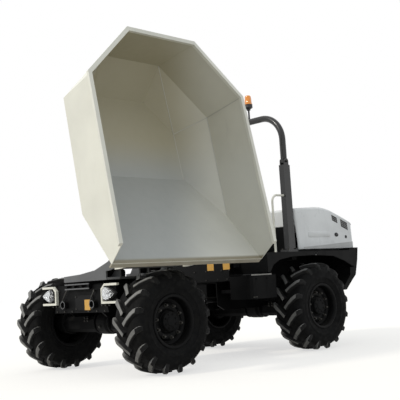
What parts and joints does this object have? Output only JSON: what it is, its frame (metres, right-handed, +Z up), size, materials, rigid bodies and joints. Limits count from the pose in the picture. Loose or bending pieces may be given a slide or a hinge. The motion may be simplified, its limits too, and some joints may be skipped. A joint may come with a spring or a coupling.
{
  "type": "articulated site dumper with swivel skip",
  "caption": "Articulated four-wheel-drive site dumper, its swivel skip slewed to the left and tipped, with a folding roll-over frame behind the seat",
  "frame": {"origin": "bottom centre of the whole machine's bounding box, on the ground", "axes": "+X towards the machine's front, +Y to its left, +Z up; the skip is stored slewed to +Y and tipped"},
  "size_m": [4.7458, 2.6832, 3.5512],
  "materials": {
    "tyre": "matt rubber",
    "rim_paint": "satin",
    "frame_paint": "satin",
    "cream_paint": "gloss, worn",
    "grey_paint": "gloss",
    "black_plastic": "matt",
    "seat_vinyl": "satin",
    "amber_lens": "gloss",
    "lamp_lens": "gloss",
    "red_lens": "gloss",
    "ram_chrome": "polished",
    "cast_black": "satin paint",
    "black_paint": "satin"
  },
  "bodies": {
    "rear_body": {"rear_axle": "black_paint", "centre_link": "black_paint", "rear_chassis": "black_paint", "engine_block": "cast_black", "footwell": "black_paint", "fender_left": "black_paint", "fender_right": "black_paint", "engine_bay": "black_paint", "counterweight": "cast_black", "tail_lamp_left": "red_lens", "tail_lamp_right": "red_lens", "tow_jaw": "black_paint", "tank_left": "black_paint", "tank_right": "black_paint", "console": "black_plastic", "steering_wheel": "black_plastic", "seat_base": "black_plastic", "seat": "seat_vinyl", "grab_rail": "cream_paint", "rops_post_left": "black_paint", "rops_post_right": "black_paint"},
    "front_body": {"front_axle": "black_paint", "front_chassis": "black_paint", "front_panel": "black_paint", "lamp_guard_left": "cream_paint", "lamp_guard_right": "cream_paint", "headlamp_left": "lamp_lens", "headlamp_right": "lamp_lens", "slew_ring": "black_paint"},
    "swivel": {"swivel_frame": "frame_paint"},
    "skip": {"skip_shell": "cream_paint", "skip_rim": "cream_paint", "skip_underframe": "cream_paint", "skip_lip": "cream_paint"},
    "tip_barrel": {"tip_ram_barrel": "black_paint"},
    "tip_rod": {"tip_ram_rod": "ram_chrome"},
    "steer_barrel": {"steer_ram_barrel": "black_paint"},
    "steer_rod": {"steer_ram_rod": "ram_chrome"},
    "hoop": {"rops_hoop": "black_paint", "beacon_base": "black_plastic", "beacon_lens": "amber_lens"},
    "bonnet": {"bonnet_shell": "grey_paint", "bonnet_handle": "black_plastic"},
    "wheel_front_left": {"tyre_front_left": "tyre", "rim_front_left": "rim_paint"},
    "wheel_front_right": {"tyre_front_right": "tyre", "rim_front_right": "rim_paint"},
    "wheel_rear_left": {"tyre_rear_left": "tyre", "rim_rear_left": "rim_paint"},
    "wheel_rear_right": {"tyre_rear_right": "tyre", "rim_rear_right": "rim_paint"}
  },
  "joints": [
    {"name": "steering", "type": "hinge", "parent": "rear_body", "child": "front_body", "pos_m": [0.13909, -0.2291, 0.59987], "axis": [0, 0, 1], "range_deg": [-30, 30]},
    {"name": "spin_front_left", "type": "hinge", "parent": "front_body", "child": "wheel_front_left", "pos_m": [1.33909, 0.6809, 0.53487], "axis": [0, 1, 0], "continuous": true},
    {"name": "spin_front_right", "type": "hinge", "parent": "front_body", "child": "wheel_front_right", "pos_m": [1.33909, -1.1391, 0.53487], "axis": [0, 1, 0], "continuous": true},
    {"name": "spin_rear_left", "type": "hinge", "parent": "rear_body", "child": "wheel_rear_left", "pos_m": [-1.13091, 0.6809, 0.53487], "axis": [0, 1, 0], "continuous": true},
    {"name": "spin_rear_right", "type": "hinge", "parent": "rear_body", "child": "wheel_rear_right", "pos_m": [-1.13091, -1.1391, 0.53487], "axis": [0, 1, 0], "continuous": true},
    {"name": "slew", "type": "hinge", "parent": "front_body", "child": "swivel", "pos_m": [1.29509, -0.2291, 1.02287], "axis": [0, 0, 1], "range_deg": [-180, 0]},
    {"name": "tip", "type": "hinge", "parent": "swivel", "child": "skip", "pos_m": [1.29509, 0.5389, 1.24287], "axis": [-1, 0, 0], "range_deg": [-77.5, 2]},
    {"name": "tip_ram_swing", "type": "hinge", "parent": "swivel", "child": "tip_barrel", "pos_m": [1.29509, 0.3209, 1.08487], "axis": [-1, 0, 0], "range_deg": [-83.78, 4]},
    {"name": "tip_ram_slide", "type": "slide", "parent": "tip_barrel", "child": "tip_rod", "axis": [0, -0.1358, 0.9907], "range_m": [-0.3329, 0.012]},
    {"name": "steer_ram_swing", "type": "hinge", "parent": "rear_body", "child": "steer_barrel", "pos_m": [-0.36091, 0.0029, 0.68987], "axis": [0, 0, 1], "range_deg": [-8, 8]},
    {"name": "steer_ram_slide", "type": "slide", "parent": "steer_barrel", "child": "steer_rod", "axis": [0.9997, -0.0235, 0], "range_m": [-0.116, 0.116]},
    {"name": "bonnet_lift", "type": "hinge", "parent": "rear_body", "child": "bonnet", "pos_m": [-1.04591, -0.2291, 1.75987], "axis": [0, 1, 0], "range_deg": [0, 35]},
    {"name": "rops_fold", "type": "hinge", "parent": "rear_body", "child": "hoop", "pos_m": [-0.96091, -0.2291, 2.37187], "axis": [0, -1, 0], "range_deg": [0, 90]}
  ],
  "couplings": [
    {"joint": "tip_ram_swing", "follows": "tip", "ratio": 1.0553},
    {"joint": "tip_ram_slide", "follows": "tip", "m_per_rad": 0.24319},
    {"joint": "steer_ram_swing", "follows": "steering", "ratio": 0.13325},
    {"joint": "steer_ram_slide", "follows": "steering", "m_per_rad": -0.21382}
  ]
}
